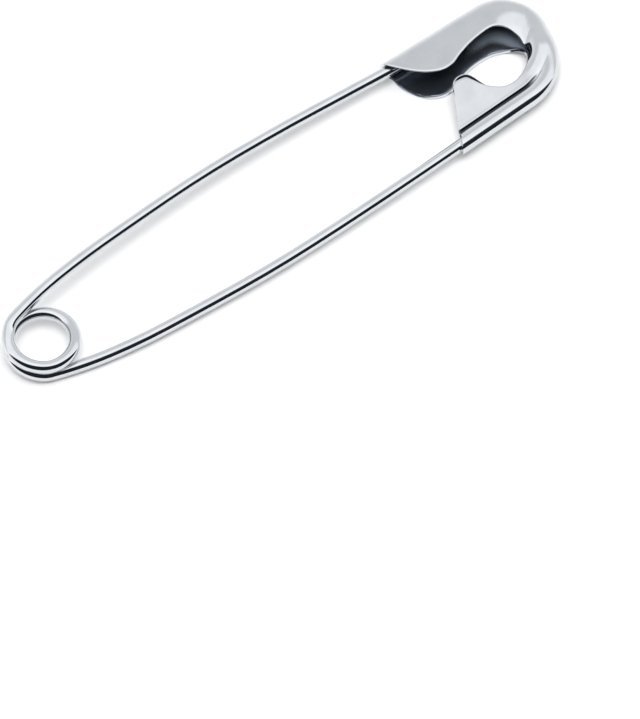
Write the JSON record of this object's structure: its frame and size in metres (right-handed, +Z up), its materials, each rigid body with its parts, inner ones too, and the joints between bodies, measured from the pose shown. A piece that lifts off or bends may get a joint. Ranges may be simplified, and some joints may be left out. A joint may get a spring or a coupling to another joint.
{
  "type": "safety pin",
  "caption": "Closed safety pin of bright plated steel: coiled spring wire with a sharp arm that latches in a folded sheet clasp.",
  "frame": {"origin": "on the axis of the spring coil, at the plane that the closed pin lies on", "axes": "+X along the pin from the coil to the clasp's head, +Y towards the pin arm and its catch, +Z up from the plane that the pin lies on, along the coil's axis"},
  "size_m": [0.075, 0.0153, 0.0042],
  "materials": {
    "spring_wire": "bright nickel plating on hard-drawn steel wire",
    "folded_sheet": "bright nickel plating on pressed steel sheet"
  },
  "bodies": {
    "frame": {"clasp": "folded_sheet", "fixed_arm": "spring_wire", "coil": "spring_wire"},
    "pin_arm": {"pin_arm": "spring_wire"}
  },
  "joints": [
    {"name": "pin_arm_swing", "type": "hinge", "parent": "frame", "child": "pin_arm", "pos_m": [0, 0, 0.0035], "axis": [0, 0, 1], "range_deg": [-4.5, 46], "deforming": ["coil"]}
  ]
}
